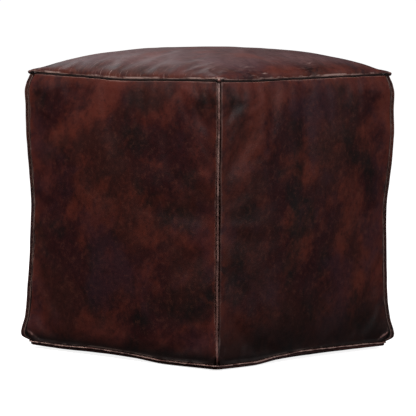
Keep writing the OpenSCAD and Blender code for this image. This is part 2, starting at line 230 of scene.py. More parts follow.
def rolled_sheet(name, grid, rolls, radius, tuck, seed, quarter=0, arc_steps=7, creases=None):
    """A thick sheet of leather over a grid of points. Each edge rolls over until it points the way that
    rolls gives for it, into the seam, and goes on for the length tuck. The sheet is then turned to its
    side by quarter turns, and creases marks folds on the grid, which the materials paint pale, partly as
    rubbed leather and partly as painted highlight."""
    n, m = grid.shape[:2]
    normals = grid_normals(grid)
    index = np.arange(n * m).reshape(n, m)
    sides = [index[:-1, 0], index[-1, :-1], index[:0:-1, -1], index[0, :0:-1]]
    loop = np.concatenate(sides)
    edge = np.concatenate([np.full(len(s), k) for k, s in enumerate(sides)])
    at, normal = grid.reshape(-1, 3)[loop], normals.reshape(-1, 3)[loop]
    step = unit(np.roll(at, -1, 0) - at)
    corner = edge != np.roll(edge, 1)
    out_next, out_last = unit(np.cross(step, normal)), unit(np.cross(np.roll(step, 1, 0), normal))
    away = (out_next + out_last) / np.maximum(1 + (out_next * out_last).sum(1, keepdims=True), 0.8)

    def along(values):
        v = values.copy()
        v[corner] = (v[corner] + np.roll(v, 1, 0)[corner]) / 2
        return v
    into = np.stack([way(at) if callable(way) else np.array(way) + 0 * at for way in rolls])
    into = unit(along(into[edge, np.arange(len(edge))]))
    r, deep = along(np.array(radius)[edge]), along(np.array(tuck)[edge])
    a = np.arctan2(-(into * normal).sum(1), (into * unit(away)).sum(1)) % (2 * math.pi)
    a = np.clip(np.where(a > 1.6 * math.pi, 0, a), 0.3, 1.15 * math.pi)
    for _ in range(3):
        a = np.where(corner, a, (np.roll(a, 1) + 2 * a + np.roll(a, -1)) / 4)
    r = r * (1 + 0.12 * waves(at, 0.03, seed + 5))
    rings, share = [], []
    for k in range(1, arc_steps + 1):
        phi = a * k / arc_steps
        rings.append(at + (r * np.sin(phi))[:, None] * away - (r * (1 - np.cos(phi)))[:, None] * normal)
        share.append(k / arc_steps)
    inward = np.cos(a)[:, None] * away - np.sin(a)[:, None] * normal
    rings += [rings[-1] + (deep * 0.4)[:, None] * inward, rings[-1] + deep[:, None] * inward]
    share += [1.2, 1.4]
    co = np.concatenate([grid.reshape(-1, 3)] + rings)
    faces = [grid_faces(n, m)]
    ring, count = loop, len(loop)
    for k in range(len(rings)):
        nxt = n * m + k * count + np.arange(count)
        faces.append(np.stack([nxt, np.roll(nxt, -1), np.roll(ring, -1), ring], 1))
        ring = nxt
    faces = np.concatenate(faces)
    # the inner face, one thickness under the outer one
    across = unit(np.cross(co[faces[:, 2]] - co[faces[:, 0]], co[faces[:, 3]] - co[faces[:, 1]]))
    point_n = np.zeros_like(co)
    for k in range(4):
        np.add.at(point_n, faces[:, k], across)
    total = len(co)
    thick = np.concatenate([np.full(n * m, LEATHER)] + [np.minimum(r * 0.6, LEATHER)] * len(rings))
    inner = co - unit(point_n) * thick[:, None]
    rim = np.stack([ring, np.roll(ring, -1), np.roll(ring, -1) + total, ring + total], 1)
    every = np.concatenate([faces, faces[:, ::-1] + total, rim[:, ::-1]])
    obj = new_mesh(name, turned(np.concatenate([co, inner]), quarter), every.tolist())
    # closeness to a seam, and the share of the roll, by which the materials paint the crest pale and the depth
    # of the seam with painted shade
    d = edge_distance(grid).ravel()
    folds = np.zeros(n * m) if creases is None else CREST * creases.ravel()
    for label, inside, outside in (("seam", np.exp(-d / SEAM_NEAR), np.ones(len(share))),
                                   ("rim", np.exp(-d / RIM_NEAR), np.ones(len(share))),
                                   ("fold", folds, share)):
        values = np.concatenate([inside] + [np.full(count, v) for v in outside])
        put_attribute(obj, label, np.tile(values, 2))
    return obj


def swept(name, path, out, across, section, closed=False):
    """A bar along path whose section points are (outward, across) pairs, counter-clockwise."""
    sec = np.array(section)
    co = path[:, None, :] + sec[None, :, :1] * out[:, None, :] + sec[None, :, 1:] * across[:, None, :]
    n, m = co.shape[:2]
    a = np.arange(n if closed else n - 1)[:, None]
    b = np.arange(m)[None, :]
    nxt = (a + 1) % n
    after = (b + 1) % m
    faces = np.stack([a * m + b, nxt * m + b, nxt * m + after, a * m + after], -1).reshape(-1, 4).tolist()
    if not closed:
        faces += [list(range(m)), [(n - 1) * m + k for k in range(m - 1, -1, -1)]]
    return new_mesh(name, co.reshape(-1, 3), faces)


def resampled(values, old, size):
    """values, given at the indices old along the first axis, at every index up to size."""
    flat = values.reshape(len(old), -1)
    every = np.arange(size)
    full = np.stack([np.interp(every, old, column) for column in flat.T], -1)
    return full.reshape((size,) + values.shape[1:])


def softened(p, times):
    """A grid of values averaged with its neighbours, its border kept."""
    p = p.copy()
    for _ in range(times):
        p[1:-1, 1:-1] = (2 * p[1:-1, 1:-1] + p[:-2, 1:-1] + p[2:, 1:-1] + p[1:-1, :-2] + p[1:-1, 2:]) / 6
    return p


SETTLE_EVERY, SETTLE_FRAMES = 2, 16      # every second point is simulated, for this many frames
EVEN_ROUNDS, EVEN_SHARE = 80, 0.85       # how much of the even swelling is taken out again
FOLD_SHARE, CALM_SEAM = 0.5, 22 * MM     # how strong the folds stay, and how near a seam they fade


def settled(grid):
    """The grid after a cloth simulation: leather cut a little too large, its seams held, the stuffing
    pressing from inside. Only the folds are taken from it, and no point moves further than MOST_MOVE."""
    n, m = grid.shape[:2]
    pick_i = np.unique(np.r_[np.arange(0, n, SETTLE_EVERY), n - 1])
    pick_j = np.unique(np.r_[np.arange(0, m, SETTLE_EVERY), m - 1])
    start = grid[pick_i][:, pick_j]
    a, b = len(pick_i), len(pick_j)
    obj = new_mesh("cloth", start.reshape(-1, 3), grid_faces(a, b).tolist())
    index = np.arange(a * b).reshape(a, b)
    held = obj.vertex_groups.new(name="held")
    border = np.concatenate([index[0], index[-1], index[:, 0], index[:, -1]])
    held.add([int(k) for k in border], 1.0, "REPLACE")
    cloth = obj.modifiers.new("cloth", "CLOTH")
    s = cloth.settings
    s.quality, s.mass, s.air_damping = 5, 0.3, 4.0
    s.tension_stiffness = s.compression_stiffness = 30.0
    s.shear_stiffness, s.bending_stiffness = 15.0, 3.0
    s.vertex_group_mass = "held"
    s.use_pressure, s.uniform_pressure_force = True, STUFFING_PRESSURE
    s.shrink_min = -SLACK
    s.effector_weights.gravity = 0
    cloth.collision_settings.use_collision = False
    cloth.point_cache.frame_start, cloth.point_cache.frame_end = 1, SETTLE_FRAMES
    for k in range(1, SETTLE_FRAMES + 1):
        scene.frame_set(k)
    result = obj.evaluated_get(bpy.context.evaluated_depsgraph_get()).data
    end = np.empty(a * b * 3)
    result.vertices.foreach_get("co", end)
    bpy.data.objects.remove(obj)
    scene.frame_set(1)
    move = end.reshape(a, b, 3) - start
    move = (move - EVEN_SHARE * softened(move, EVEN_ROUNDS)) * FOLD_SHARE
    size = np.linalg.norm(move, axis=-1, keepdims=True)
    move *= np.minimum(1, MOST_MOVE / np.maximum(size, 1e-9))
    full = resampled(move, pick_i, n)
    full = resampled(full.transpose(1, 0, 2), pick_j, m).transpose(1, 0, 2)
    return grid + softened(full, 2) * ease(edge_distance(grid), 0, CALM_SEAM)[..., None]


# ---- Shape of the cover ----

def base_seam(s):
    """Plan of the base seam on the front side: straight, then round to the diagonal."""
    straight = EDGE - ROUND
    run = np.abs(s) * (straight + ROUND * math.pi / 4)
    turn = np.maximum(run - straight, 0) / ROUND
    x = np.sign(s) * (np.minimum(run, straight) + ROUND * np.sin(turn))
    return x, -(straight + ROUND * np.cos(turn))


def side_surface(s, f, q):
    """Points of a side, seen as the front one: s from -1 to 1 between its seams, f from 0 to 1 upwards."""
    reach = np.where(s > 0, corner_line(f, q), corner_line(f, q + 3))
    x = s * reach
    d = reach - np.abs(x)
    more = np.where(s > 0, CORNER_MORE[q](f), CORNER_MORE[(q + 3) % 4](f)) * MM
    y = -(HALF + SWELL * MIDDLE(f) * (1 - np.abs(s) ** SWELL_POWER)
          + FLARE * FLARED(f) / ROOT2 * np.exp(-d / FLARE_REACH)
          + (SHOULDER * SHOULDERED(f) + more) / ROOT2 * np.exp(-d / SHOULDER_REACH))
    z_low = BASE_Z + BASE_WAVE[q](s) * MM
    z_high = TOP_Z + TOP_WAVE[q](s) * MM
    z = z_low + f * (z_high - z_low)
    crease = np.maximum(EAR_H * (1 - d / EAR_L), TUCK_H)
    share = np.clip((z - z_low) / crease, 0, 1) ** 1.5
    low_x, low_y = base_seam(s)
    return np.stack([low_x + (x - low_x) * share, low_y + (y - low_y) * share, z], -1)


def top_edge(s):
    """Distance of the top seam from the middle, along a side."""
    swell = SWELL * MIDDLE(1.0) * (1 - np.abs(s) ** SWELL_POWER)
    shoulder = SHOULDER * SHOULDERED(1.0) / ROOT2 * np.exp(-(1 - np.abs(s)) * HALF / SHOULDER_REACH)
    return HALF + swell + TOP_EAR * np.abs(s) ** 14 + shoulder


def corner_inset(radius, gap):
    """How far from a corner seam's line the roll of a side panel begins."""
    return radius / math.tan(math.radians(22.5)) + gap * ROOT2


def seam_height(waves_of, u, w, q=0):
    """Height that joins the wavy seams round the top or the base, seen with side q in front, in metres."""
    front, right, back, left = (waves_of[(q + k) % 4] for k in range(4))
    edges = (front(u) * (1 - w) + back(-u) * (1 + w) + left(-w) * (1 - u) + right(w) * (1 + u)) / 2
    corners = (front(-1.0) * (1 - u) * (1 - w) + front(1.0) * (1 + u) * (1 - w)
               + back(-1.0) * (1 + u) * (1 + w) + back(1.0) * (1 - u) * (1 + w)) / 4
    return MM * (edges - corners)


def top_surface(u, w):
    """Points of the top: u and w run from -1 to 1 between the seams."""
    seam = seam_height(TOP_WAVE, u, w)
    more, less = np.maximum(np.abs(u), np.abs(w)), np.minimum(np.abs(u), np.abs(w))
    lip = TOP_GAP + TOP_R * (1 + 0.6 * more ** 2 * less ** 8)      # it thickens towards the corners
    dome = np.clip((1 - u * u) * (1 - w * w), 0, 1) ** 0.42
    z = TOP_Z + seam + lip + (CROWN + LEATHER - lip) * dome
    return np.stack([u * top_edge(w), w * top_edge(u), z], -1)


def seam_puckers(d, along, depth, reach, seed):
    """Small gathers that run away from a seam: d is the distance from it, along the place on it."""
    points = np.stack([along, d * 0.25, np.full_like(d, seed * 3.7)], -1)
    return depth * np.exp(-d / reach) * waves(points, 0.035, seed)


def ear_creases(p, q):
    """1 along the folds under the lower corners of a side, 0 elsewhere."""
    d = EDGE - np.abs(p[..., 0])
    seam = BASE_Z + BASE_WAVE[q](np.clip(p[..., 0] / HALF, -1, 1)) * MM
    over = p[..., 2] - seam - EAR_H * (1 - d / EAR_L)
    depth = np.where(p[..., 0] > 0, EAR_DEPTH[q], EAR_DEPTH[q - 1])
    return depth * np.exp(-(over / (1.4 * MM)) ** 2) * (1 - ease(d, 0.2 * EAR_L, 0.9 * EAR_L))


SIDE_N, SIDE_M = ((121, 135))     # points across a side and up it


def side_grid(seed, q):
    """The outer face of side q, seen as the front one, with its gathers and undulations."""
    s0 = crowd(SIDE_N)[:, None] + np.zeros(SIDE_M)
    f0 = (crowd(SIDE_M, 0.85)[None, :] + 1) / 2 + np.zeros((SIDE_N, 1))
    low, high = (PANEL_R + BASE_GAP) / SIDE_H, (PANEL_R + TOP_GAP) / SIDE_H
    f = low + f0 * (1 - low - high)
    inset = np.where(s0 < 0, corner_inset(LEFT_R[q], GROOVE), corner_inset(PANEL_R, RIGHT_GAP[q]))
    s = s0 * (1 - inset / corner_line(f))
    p = side_surface(s, f, q)
    n = grid_normals(p)
    d_side = corner_line(f) - np.abs(p[..., 0])
    d_low, d_high = p[..., 2] - BASE_Z, TOP_Z - p[..., 2]
    calm = (1 - s ** 4) * (1 - (2 * f - 1) ** 6)
    bumps = 1.6 * MM * waves(p, 0.14, seed + 1) * calm + 0.35 * MM * waves(p, 0.045, seed + 2) * calm
    bumps += seam_puckers(d_side, p[..., 2] + np.sign(s) * 3, 0.7 * MM, 0.016, seed + 3)
    bumps += seam_puckers(d_high, p[..., 0], 0.8 * MM, 0.018, seed + 4)
    bumps += seam_puckers(d_low, p[..., 0], 0.8 * MM, 0.016, seed + 6)
    bumps += 0.7 * MM * ear_creases(p, q)
    return p + n * bumps[..., None]


def top_grid(seed):
    """The outer face of the top."""
    n = 151
    k = np.linspace(-1, 1, n)
    k = np.sign(k) * (1 - (1 - np.abs(k)) ** 1.6)
    u, w = np.meshgrid(k, k, indexing="ij")
    p = top_surface(u, w)
    p[..., :2] *= 1 - TOP_R * 0.6 / HALF
    nrm = grid_normals(p)
    d_x, d_y = (1 - np.abs(u)) * HALF, (1 - np.abs(w)) * HALF
    bumps = 1.3 * MM * waves(p, 0.12, seed + 1) * (1 - u ** 4) * (1 - w ** 4)
    bumps += 0.3 * MM * waves(p, 0.04, seed + 2) * (1 - u ** 8) * (1 - w ** 8)
    bumps += seam_puckers(d_x, p[..., 1] + np.sign(u) * 5, 0.8 * MM, 0.03, seed + 3)
    bumps += seam_puckers(d_y, p[..., 0] + np.sign(w) * 7, 0.8 * MM, 0.03, seed + 4)
    return p + nrm * (bumps * (1 - (u * w) ** 8))[..., None]


SHUT_HALF = 0.2 * MM               # half gap between the base panels, past the zip
RIM = EDGE - BASE_R - 0.4 * MM     # outline of the base panels' flat part, a rounded square
RIM_ROUND = ROUND - BASE_R


def rim_in(p):
    """The way in from the outline of the base, at points on it."""
    corner = np.maximum(np.abs(p) - (RIM - RIM_ROUND), 0) * (1, 1, 0)
    return unit(-np.sign(p) * corner)


BASE_ROLLS = [(0, 0, 1), rim_in, rim_in, rim_in]


def base_grid(seed, q):
    """The underside from the zip to the seam below side q, seen as the front one."""
    n, m = ((151, 71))
    u, v = np.meshgrid(crowd(n, 0.6), (crowd(m, 0.8) + 1) / 2, indexing="ij")
    past_zip = ease(np.abs(u) * RIM, ZIP_HALF - 1 * MM, ZIP_HALF + 5 * MM)
    slot = SHUT_HALF + (SLOT_HALF - SHUT_HALF) * (1 - past_zip)
    y = slot + v * (RIM - slot)
    over = np.maximum(y - (RIM - RIM_ROUND), 0)
    x = u * (RIM - RIM_ROUND + np.sqrt(np.maximum(RIM_ROUND ** 2 - over ** 2, 0)))
    cx, cy = np.abs(x) - (RIM - RIM_ROUND), y - (RIM - RIM_ROUND)
    inside = RIM_ROUND - np.hypot(np.maximum(cx, 0), np.maximum(cy, 0)) - np.minimum(np.maximum(cx, cy), 0)
    lip = BASE_Z + seam_height(BASE_WAVE, x / RIM, -y / RIM, q) - BASE_GAP - 1.9 * BASE_R
    z = 0.1 * MM + lip * np.clip(1 - inside / (42 * MM), 0, 1) ** 2
    beside_zip = 1 - ease(y, VALLEY_TOP, VALLEY_FOOT)
    z += VALLEY_H * beside_zip * (1 - ease(np.abs(x), ZIP_HALF + 8 * MM, ZIP_HALF + 28 * MM))
    p = np.stack([x, -y, z], -1)
    fade = ease(inside, 2 * MM, 20 * MM) * ease(y, 20 * MM, 45 * MM)
    p[..., 2] += 0.25 * MM * fade * (1 + waves(p, 0.05, seed))
    p[..., 2] = np.maximum(p[..., 2], 0.05 * MM)
    return p


# ---- Materials ----

def srgb(r, g, b):
    """A colour from 0 to 255 a channel, as linear values with full opacity."""
    linear = [((c / 255 + 0.055) / 1.055) ** 2.4 if c > 10 else c / 255 / 12.92 for c in (r, g, b)]
    return (*linear, 1.0)


class Nodes:
    """Short forms for building one material."""

    def __init__(self, name):
        self.material = bpy.data.materials.new(name)
        self.material.use_nodes = True
        self.tree = self.material.node_tree
        self.tree.nodes.clear()
        self.out = self.new("ShaderNodeOutputMaterial")
        self.shader = self.new("ShaderNodeBsdfPrincipled")
        self.join(self.shader.outputs[0], self.out.inputs[0])
        self.place = self.new("ShaderNodeTexCoord").outputs["Object"]

    def new(self, kind, **values):
        node = self.tree.nodes.new(kind)
        for key, value in values.items():
            setattr(node, key, value)
        return node

    def join(self, a, b):
        self.tree.links.new(a, b)

    def give(self, socket, value):
        if isinstance(value, bpy.types.NodeSocket):
            self.join(value, socket)
        else:
            socket.default_value = value

    def feed(self, node, **sockets):
        """Sets or joins a node's inputs by name, with _ for a space."""
        for key, value in sockets.items():
            self.give(node.inputs[key.replace("_", " ")], value)
        return node

    def moved(self, offset, scale=(1, 1, 1), turn=(0, 0, 0), kind="POINT"):
        node = self.new("ShaderNodeMapping", vector_type=kind)
        return self.feed(node, Vector=self.place, Location=offset, Rotation=turn, Scale=scale).outputs[0]

    def noise(self, scale, detail=4.0, rough=0.55, distort=0.0, vector=None, output="Fac"):
        node = self.new("ShaderNodeTexNoise")
        self.feed(node, Vector=vector or self.place, Scale=scale, Detail=detail, Roughness=rough,
                  Distortion=distort)
        return node.outputs[output]

    def cells(self, scale, feature, vector):
        node = self.new("ShaderNodeTexVoronoi", feature=feature)
        return self.feed(node, Vector=vector, Scale=scale).outputs["Distance"]

    def wave(self, scale, direction, distort):
        node = self.new("ShaderNodeTexWave", bands_direction=direction)
        return self.feed(node, Vector=self.place, Scale=scale, Distortion=distort).outputs["Fac"]

    def math(self, kind, a, b, clamp=False):
        node = self.new("ShaderNodeMath", operation=kind, use_clamp=clamp)
        self.give(node.inputs[0], a)
        self.give(node.inputs[1], b)
        return node.outputs[0]

    def span(self, value, low, high, to_low=0.0, to_high=1.0):
        """value from low to high, turned smoothly into to_low to to_high."""
        node = self.new("ShaderNodeMapRange", interpolation_type="SMOOTHSTEP")
        for socket, v in zip(node.inputs, (value, low, high, to_low, to_high)):
            self.give(socket, v)
        return node.outputs[0]

    def times(self, *values):
        total = values[0]
        for v in values[1:]:
            total = self.math("MULTIPLY", total, v)
        return total

    def mix(self, share, a, b):
        """Colour a, with colour b over it by share."""
        node = self.new("ShaderNodeMix", data_type="RGBA", blend_type="MIX")
        self.give(node.inputs[0], share)
        self.give(node.inputs[6], a)
        self.give(node.inputs[7], b)
        return node.outputs[2]

    def attribute(self, name):
        return self.new("ShaderNodeAttribute", attribute_name=name).outputs["Fac"]

    def height(self):
        split = self.new("ShaderNodeSeparateXYZ")
        self.join(self.place, split.inputs[0])
        return split.outputs["Z"]

    def warped(self, vector, scale, amount):
        """vector, shifted about by a noise."""
        move = self.new("ShaderNodeVectorMath", operation="SCALE")
        self.join(self.noise(scale, vector=vector, output="Color"), move.inputs[0])
        self.feed(move, Scale=amount)
        total = self.new("ShaderNodeVectorMath", operation="ADD")
        self.join(vector, total.inputs[0])
        self.join(move.outputs[0], total.inputs[1])
        return total.outputs[0]

    def bump(self, height, distance, strength=1.0, normal=None):
        node = self.new("ShaderNodeBump")
        if normal is not None:
            self.join(normal, node.inputs["Normal"])
        return self.feed(node, Strength=strength, Distance=distance, Height=height).outputs[0]

    def finish(self, **values):
        self.feed(self.shader, **values)
        return self.material


def leather_material(name, offset, red=1.0, light=1.0, crest_rub_and_highlight=0.3, bloom_and_sheen=0.0, streaks_and_crease_highlights=0.0, low_from=0.08,
                     rough=0.42, burnish=0.75, sheen=0.32, lip=0.12, foot=0.1, groove=(10, 6, 5)):
    """Pull-up leather: patchy red brown over near black, burnished beside the seams, pale on the folds, partly
    as rubbed leather and partly as painted highlight.

    offset moves the pattern, red and light tint it. wear is how pale the crests of the folds are, rubbed
    leather with a painted highlight, and foot the share of that near the floor; it grows with height. lip is
    how pale a panel's very edge is, rubbed leather with a painted highlight. bloom is a greyish haze, mostly
    painted sheen and partly a waxy haze of the leather; streaks are pale lines towards a seam, painted
    highlights on small creases and pale scratches. Below the height low_from it darkens, painted shade near
    the floor, and deep in a seam it takes groove's colour, painted shade.
    """
    n = Nodes(name)
    p = n.moved(offset)

    def tone(r, g, b):
        return srgb(r * light * red, g * light, b * light)
    # patches of dye, the red brown ones stretched along the diagonal (1, 1, 1)
    slant = n.moved(offset, (1.7, 1, 1), (0, -0.615, 0.785), "TEXTURE")
    big = n.noise(6.0, 2.0, 0.5, 0.1, p)
    patch = n.noise(13.0, 6.0, 0.66, 0.15, slant)
    dark = n.noise(8.5, 5.0, 0.62, 0.15, n.moved((offset[2] - 2.3, offset[0] + 1.9, offset[1] + 4.4)))
    plum = n.noise(7.5, 4.0, 0.6, 0.2, n.moved((offset[1] + 3.1, offset[0] - 1.7, offset[2] + 0.4)))
    fine = n.noise(130.0, 5.0, 0.75, 0.1, p)
    base = n.mix(n.span(big, 0.4, 0.6), tone(55, 16, 19), tone(64, 26, 22))
    base = n.mix(n.times(n.span(patch, 0.46, 0.65), 0.9), base, tone(114, 48, 35))
    base = n.mix(n.times(n.span(dark, 0.48, 0.64), 0.9), base, tone(24, 17, 16))
    base = n.mix(n.times(n.span(plum, 0.50, 0.64), 0.75), base, tone(62, 31, 40))
    base = n.mix(n.times(n.attribute("rim"), n.span(patch, 0.36, 0.6), 0.5), base, tone(106, 48, 47))
    # light and dark specks
    base = n.mix(n.times(n.span(fine, 0.5, 0.72), 0.36), base, tone(122, 68, 54))
    base = n.mix(n.times(n.span(fine, 0.5, 0.3), 0.48), base, tone(16, 10, 10))
    # burnish beside the seams
    seam, rim, fold = n.attribute("seam"), n.attribute("rim"), n.attribute("fold")
    rubbed = n.noise(48.0, 4.0, 0.65, 0.5, p)
    base = n.mix(n.times(seam, n.span(rubbed, 0.38, 0.66, 0.0, burnish)), base, tone(118, 50, 34))
    # pale streaks towards a seam: painted highlights on small creases, and pale scratches
    if streaks_and_crease_highlights:
        streak_lines = n.noise(42.0, 5.0, 0.7, 0.8, n.moved(offset, (14.0, 1.0, 1.0), (0.0, 0.0, 0.6)))
        groups = n.span(n.noise(9.0, 2.0, 0.5, 0.0, p), 0.40, 0.56)
        where = n.times(n.span(streak_lines, 0.56, 0.74), groups, n.span(rim, 0.04, 0.4))
        base = n.mix(n.times(where, streaks_and_crease_highlights), base, srgb(190, 158, 150))
    # greyish haze on the top: mostly painted sheen, partly a waxy haze of the leather
    if bloom_and_sheen:
        cloud = n.span(n.noise(7.0, 4.0, 0.6, 0.2, p), 0.30, 0.62, 0.48, 1.0)
        haze_grain = n.noise(70.0, 5.0, 0.75, 0.2, n.moved(offset, (1.0, 2.4, 1.0)))
        amount = n.times(cloud, n.span(haze_grain, 0.3, 0.7, 0.45, 1.0), n.span(rim, 0.75, 0.2))
        base = n.mix(n.times(amount, bloom_and_sheen), base, srgb(150, 112, 113))
    # below low_from, and most right at the floor, the leather is painted dark: painted shade
    if low_from:
        foot_shade = n.span(n.height(), 0.036, 0.015, 0.0, 0.93)
        low = n.math("MAXIMUM", n.span(n.height(), low_from, 0.015, 0.0, 0.85), foot_shade)
        base = n.mix(low, base, srgb(13, 9, 9))
    # pale fold crests, creases and lip: rubbed leather plus painted highlight; dark deep in a seam: painted
    # shade
    crest = n.times(n.span(fold, 0.0, 0.25), n.span(fold, 0.75, 0.45))
    edge_rub_and_highlight = n.noise(40.0, 5.0, 0.7, 0.5, n.moved(offset, (0.6, 0.6, 1.0)))
    crests_rubbed_and_lit = n.times(n.span(rubbed, 0.36, 0.64, 0.12, crest_rub_and_highlight), n.span(n.height(), 0.02, 0.40, foot, 1.1))
    # fold crests painted pale: rubbed leather and painted highlight, the highlight growing with height
    base = n.mix(n.times(crest, crests_rubbed_and_lit), base, srgb(200, 164, 154))
    if low_from:
        # sharp creases painted pale: rubbed leather and painted highlight
        sharp = n.times(crest, n.span(seam, 0.995, 0.93), n.span(fine, 0.42, 0.58, 0.15, 0.8))
        base = n.mix(sharp, base, srgb(172, 128, 122))
    if lip:
        # a panel's very edge painted pale: rubbed leather and painted highlight
        edge = n.times(n.span(seam, 0.84, 0.96), n.span(fold, 0.5, 0.2), n.span(edge_rub_and_highlight, 0.47, 0.64))
        base = n.mix(n.times(edge, lip), base, srgb(206, 172, 162))
    # deep in a seam, past the middle of a roll, the colour is painted shade
    base = n.mix(n.span(fold, 0.65, 0.95), base, srgb(*groove))
    # grain: undulation, creases between cells, and pebbles
    bent = n.warped(p, 90.0, 0.006)
    normal = n.bump(n.noise(34.0, 4.0, 0.6, 0.6, p), 0.0011, 0.5)
    normal = n.bump(n.span(n.cells(230.0, "DISTANCE_TO_EDGE", bent), 0.0, 0.1), 0.00013, 0.4, normal)
    normal = n.bump(n.cells(520.0, "SMOOTH_F1", bent), 0.0002, 0.5, normal)
    gloss = n.math("ADD", n.span(n.noise(22.0, 4.0, 0.6, 0.4, p), 0.3, 0.72, rough, rough + 0.17),
                   n.times(n.span(fold, 0.6, 0.9), 0.3), clamp=True)
    return n.finish(Base_Color=base, Roughness=gloss, Normal=normal, Specular_IOR_Level=sheen)


def plain_material(name, dark, bright, scale, rough, metallic=0.0, bump=0.0001):
    """Two tones in soft spots, with a slight bump."""
    n = Nodes(name)
    field = n.noise(scale, 4.0, 0.6, 0.3)
    base = n.mix(n.span(field, 0.3, 0.7), dark, bright)
    normal = n.bump(n.noise(scale * 6, 3.0, 0.6), bump, 0.6)
    return n.finish(Base_Color=base, Roughness=n.span(field, 0.3, 0.7, rough, rough + 0.15), Normal=normal,
                    Metallic=metallic)


def woven_material(name, dark, bright, pitch):
    """Plain weave with the given distance between threads."""
    n = Nodes(name)
    warp, weft = (n.wave(1 / (math.pi * pitch), way, 0.3) for way in ("X", "Y"))
    over = n.math("MAXIMUM", warp, weft)
    base = n.mix(n.times(over, n.span(n.noise(60.0, 4.0, 0.6), 0.3, 0.7, 0.55, 1.0)), dark, bright)
    normal = n.bump(over, pitch * 0.3, 0.7)
    return n.finish(Base_Color=base, Roughness=0.85, Normal=normal, Specular_IOR_Level=0.3)


LEATHERS = {
    "front": leather_material("leather_front", (0.3, 1.7, 0.2), light=0.92, low_from=0.04),
    "right": leather_material("leather_right", (4.1, 2.3, 1.4), red=0.97, light=0.94, low_from=0.11),
    "back": leather_material("leather_back", (7.7, 3.9, 2.1), light=0.94),
    "left": leather_material("leather_left", (9.2, 6.6, 3.3), light=0.94),
    "top": leather_material("leather_top", (2.2, 8.8, 5.6), red=0.92, light=1.03, crest_rub_and_highlight=0.9, bloom_and_sheen=0.5,
                            streaks_and_crease_highlights=0.85, low_from=0.0, rough=0.48, sheen=0.4, lip=0.75, foot=0.45,
                            groove=(28, 13, 11)),
    "base": leather_material("leather_base", (5.5, 0.4, 6.1), light=0.7, crest_rub_and_highlight=0.05, low_from=0.0, burnish=0.1,
                             lip=0.0),
}
WELT_LEATHER = leather_material("leather_welt", (3.3, 4.4, 7.7), light=0.95, crest_rub_and_highlight=0.62, low_from=0.0,
                                rough=0.38, sheen=0.45, lip=0.0, foot=0.3)
WELT_BASE = leather_material("leather_welt_base", (6.3, 2.1, 0.7), light=0.95, crest_rub_and_highlight=0.9, low_from=0.0,
                             rough=0.36, sheen=0.5, lip=0.0, foot=1.1)
# a darker copy of the welt leather: painted shade for the welts seen from the side
WELT_SHADED = leather_material("leather_welt_shaded", (1.3, 6.4, 2.7), red=0.92, light=0.86, crest_rub_and_highlight=0.42,
                             low_from=0.0, lip=0.0, foot=1.1)
# for the top welt, deep in its groove: its dark brown is painted shade
GROOVE_SHADE_LEATHER = plain_material("leather_groove_shade", srgb(24, 12, 11), srgb(50, 24, 21), 60.0, 0.6)
THREAD = plain_material("thread_waxed", srgb(70, 40, 33), srgb(128, 88, 76), 900.0, 0.5, bump=0.0002)
BRASS = plain_material("zip_brass", srgb(122, 96, 52), srgb(176, 146, 92), 90.0, 0.28, metallic=1.0,
                       bump=0.00003)
TAPE = woven_material("zip_tape_weave", srgb(12, 9, 9), srgb(44, 34, 33), 0.0007)
CALICO = woven_material("calico_weave", srgb(150, 138, 112), srgb(222, 212, 188), 0.0009)
WADDING = plain_material("wadding", srgb(214, 210, 200), srgb(240, 238, 232), 110.0, 0.95, bump=0.002)


# ---- The cover ----

def dress(obj, material, node):
    """Gives a piece of the cover its material and body, and hides the imported part that it stands for."""
    obj.data.materials.append(material)
    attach(obj, "cover")
    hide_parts(node)
    return obj


for q, name in enumerate(SIDES):
    grid = settled(side_grid(100 + 17 * q, q))
    piece = rolled_sheet(f"cover_side_{name}", grid, SIDE_ROLLS, (PANEL_R,) * 3 + (LEFT_R[q],), (TUCK,) * 4,
                         40 + q, q, creases=ear_creases(grid, q))
    dress(piece, LEATHERS[name], f"side_panel_{name}")

piece = rolled_sheet("cover_top", settled(top_grid(300)), TOP_ROLLS, (TOP_R,) * 4, (TUCK,) * 4, 60)
dress(piece, LEATHERS["top"], "top_panel")

for q, name in ((0, "front"), (2, "back")):
    piece = rolled_sheet(f"cover_base_{name}", base_grid(400 + q, q), BASE_ROLLS, (ZIP_R,) + (BASE_R,) * 3,
                         (0.2 * MM,) + (5 * MM,) * 3, 70 + q, q)
    dress(piece, LEATHERS["base"], f"base_panel_{name}")


# ---- Welts ----

WELT_DEEP = 6.5 * MM       # how far in from its tip a welt is painted dark, as shade deep in the seam


def mark_welt(obj, section, proud, count, crest_depth):
    """Marks a welt's tip, crest_depth deep, painted pale as rubbed leather and highlight, and the part deep in
    the seam, painted dark as shade.
    """
    out = np.array(section)[:, 0]
    tip = np.clip(1 + (out - proud) / crest_depth, 0, 1)
    fold = np.where(out < proud - WELT_DEEP, 1.1, np.where(tip > 0.5, CREST, 0.0))
    for label, values in (("seam", tip), ("rim", tip), ("fold", fold)):
        put_attribute(obj, label, np.tile(values, count))
    return obj


def folded(half, proud, deep):
    """Section of a folded strip: a round fold outside, two plies running in."""
    turn = np.linspace(0, math.pi, 9)
    arc = [(proud - half + half * math.sin(t), half * math.cos(t)) for t in turn]
    return [(-deep, half)] + arc + [(-deep, -half)]


def corner_section():
    """Section of a corner welt: two plies side by side, their edges rounded, leaning to one side."""
    h, out = WELT_HALF, WELT_PROUD
    half = [(-WELT_IN, h), (-4 * MM, h), (-1 * MM, h), (out - 1.0 * MM, h), (out - 0.35 * MM, 0.9 * h),
            (out, 0.62 * h), (out - 0.1 * MM, 0.3 * h), (out - 0.6 * MM, 0.08 * h)]
    both = half + [(x, -y) for x, y in reversed(half)]
    lean = 0.09
    return [(x, y - lean * max(0, x + 1 * MM)) for x, y in both]


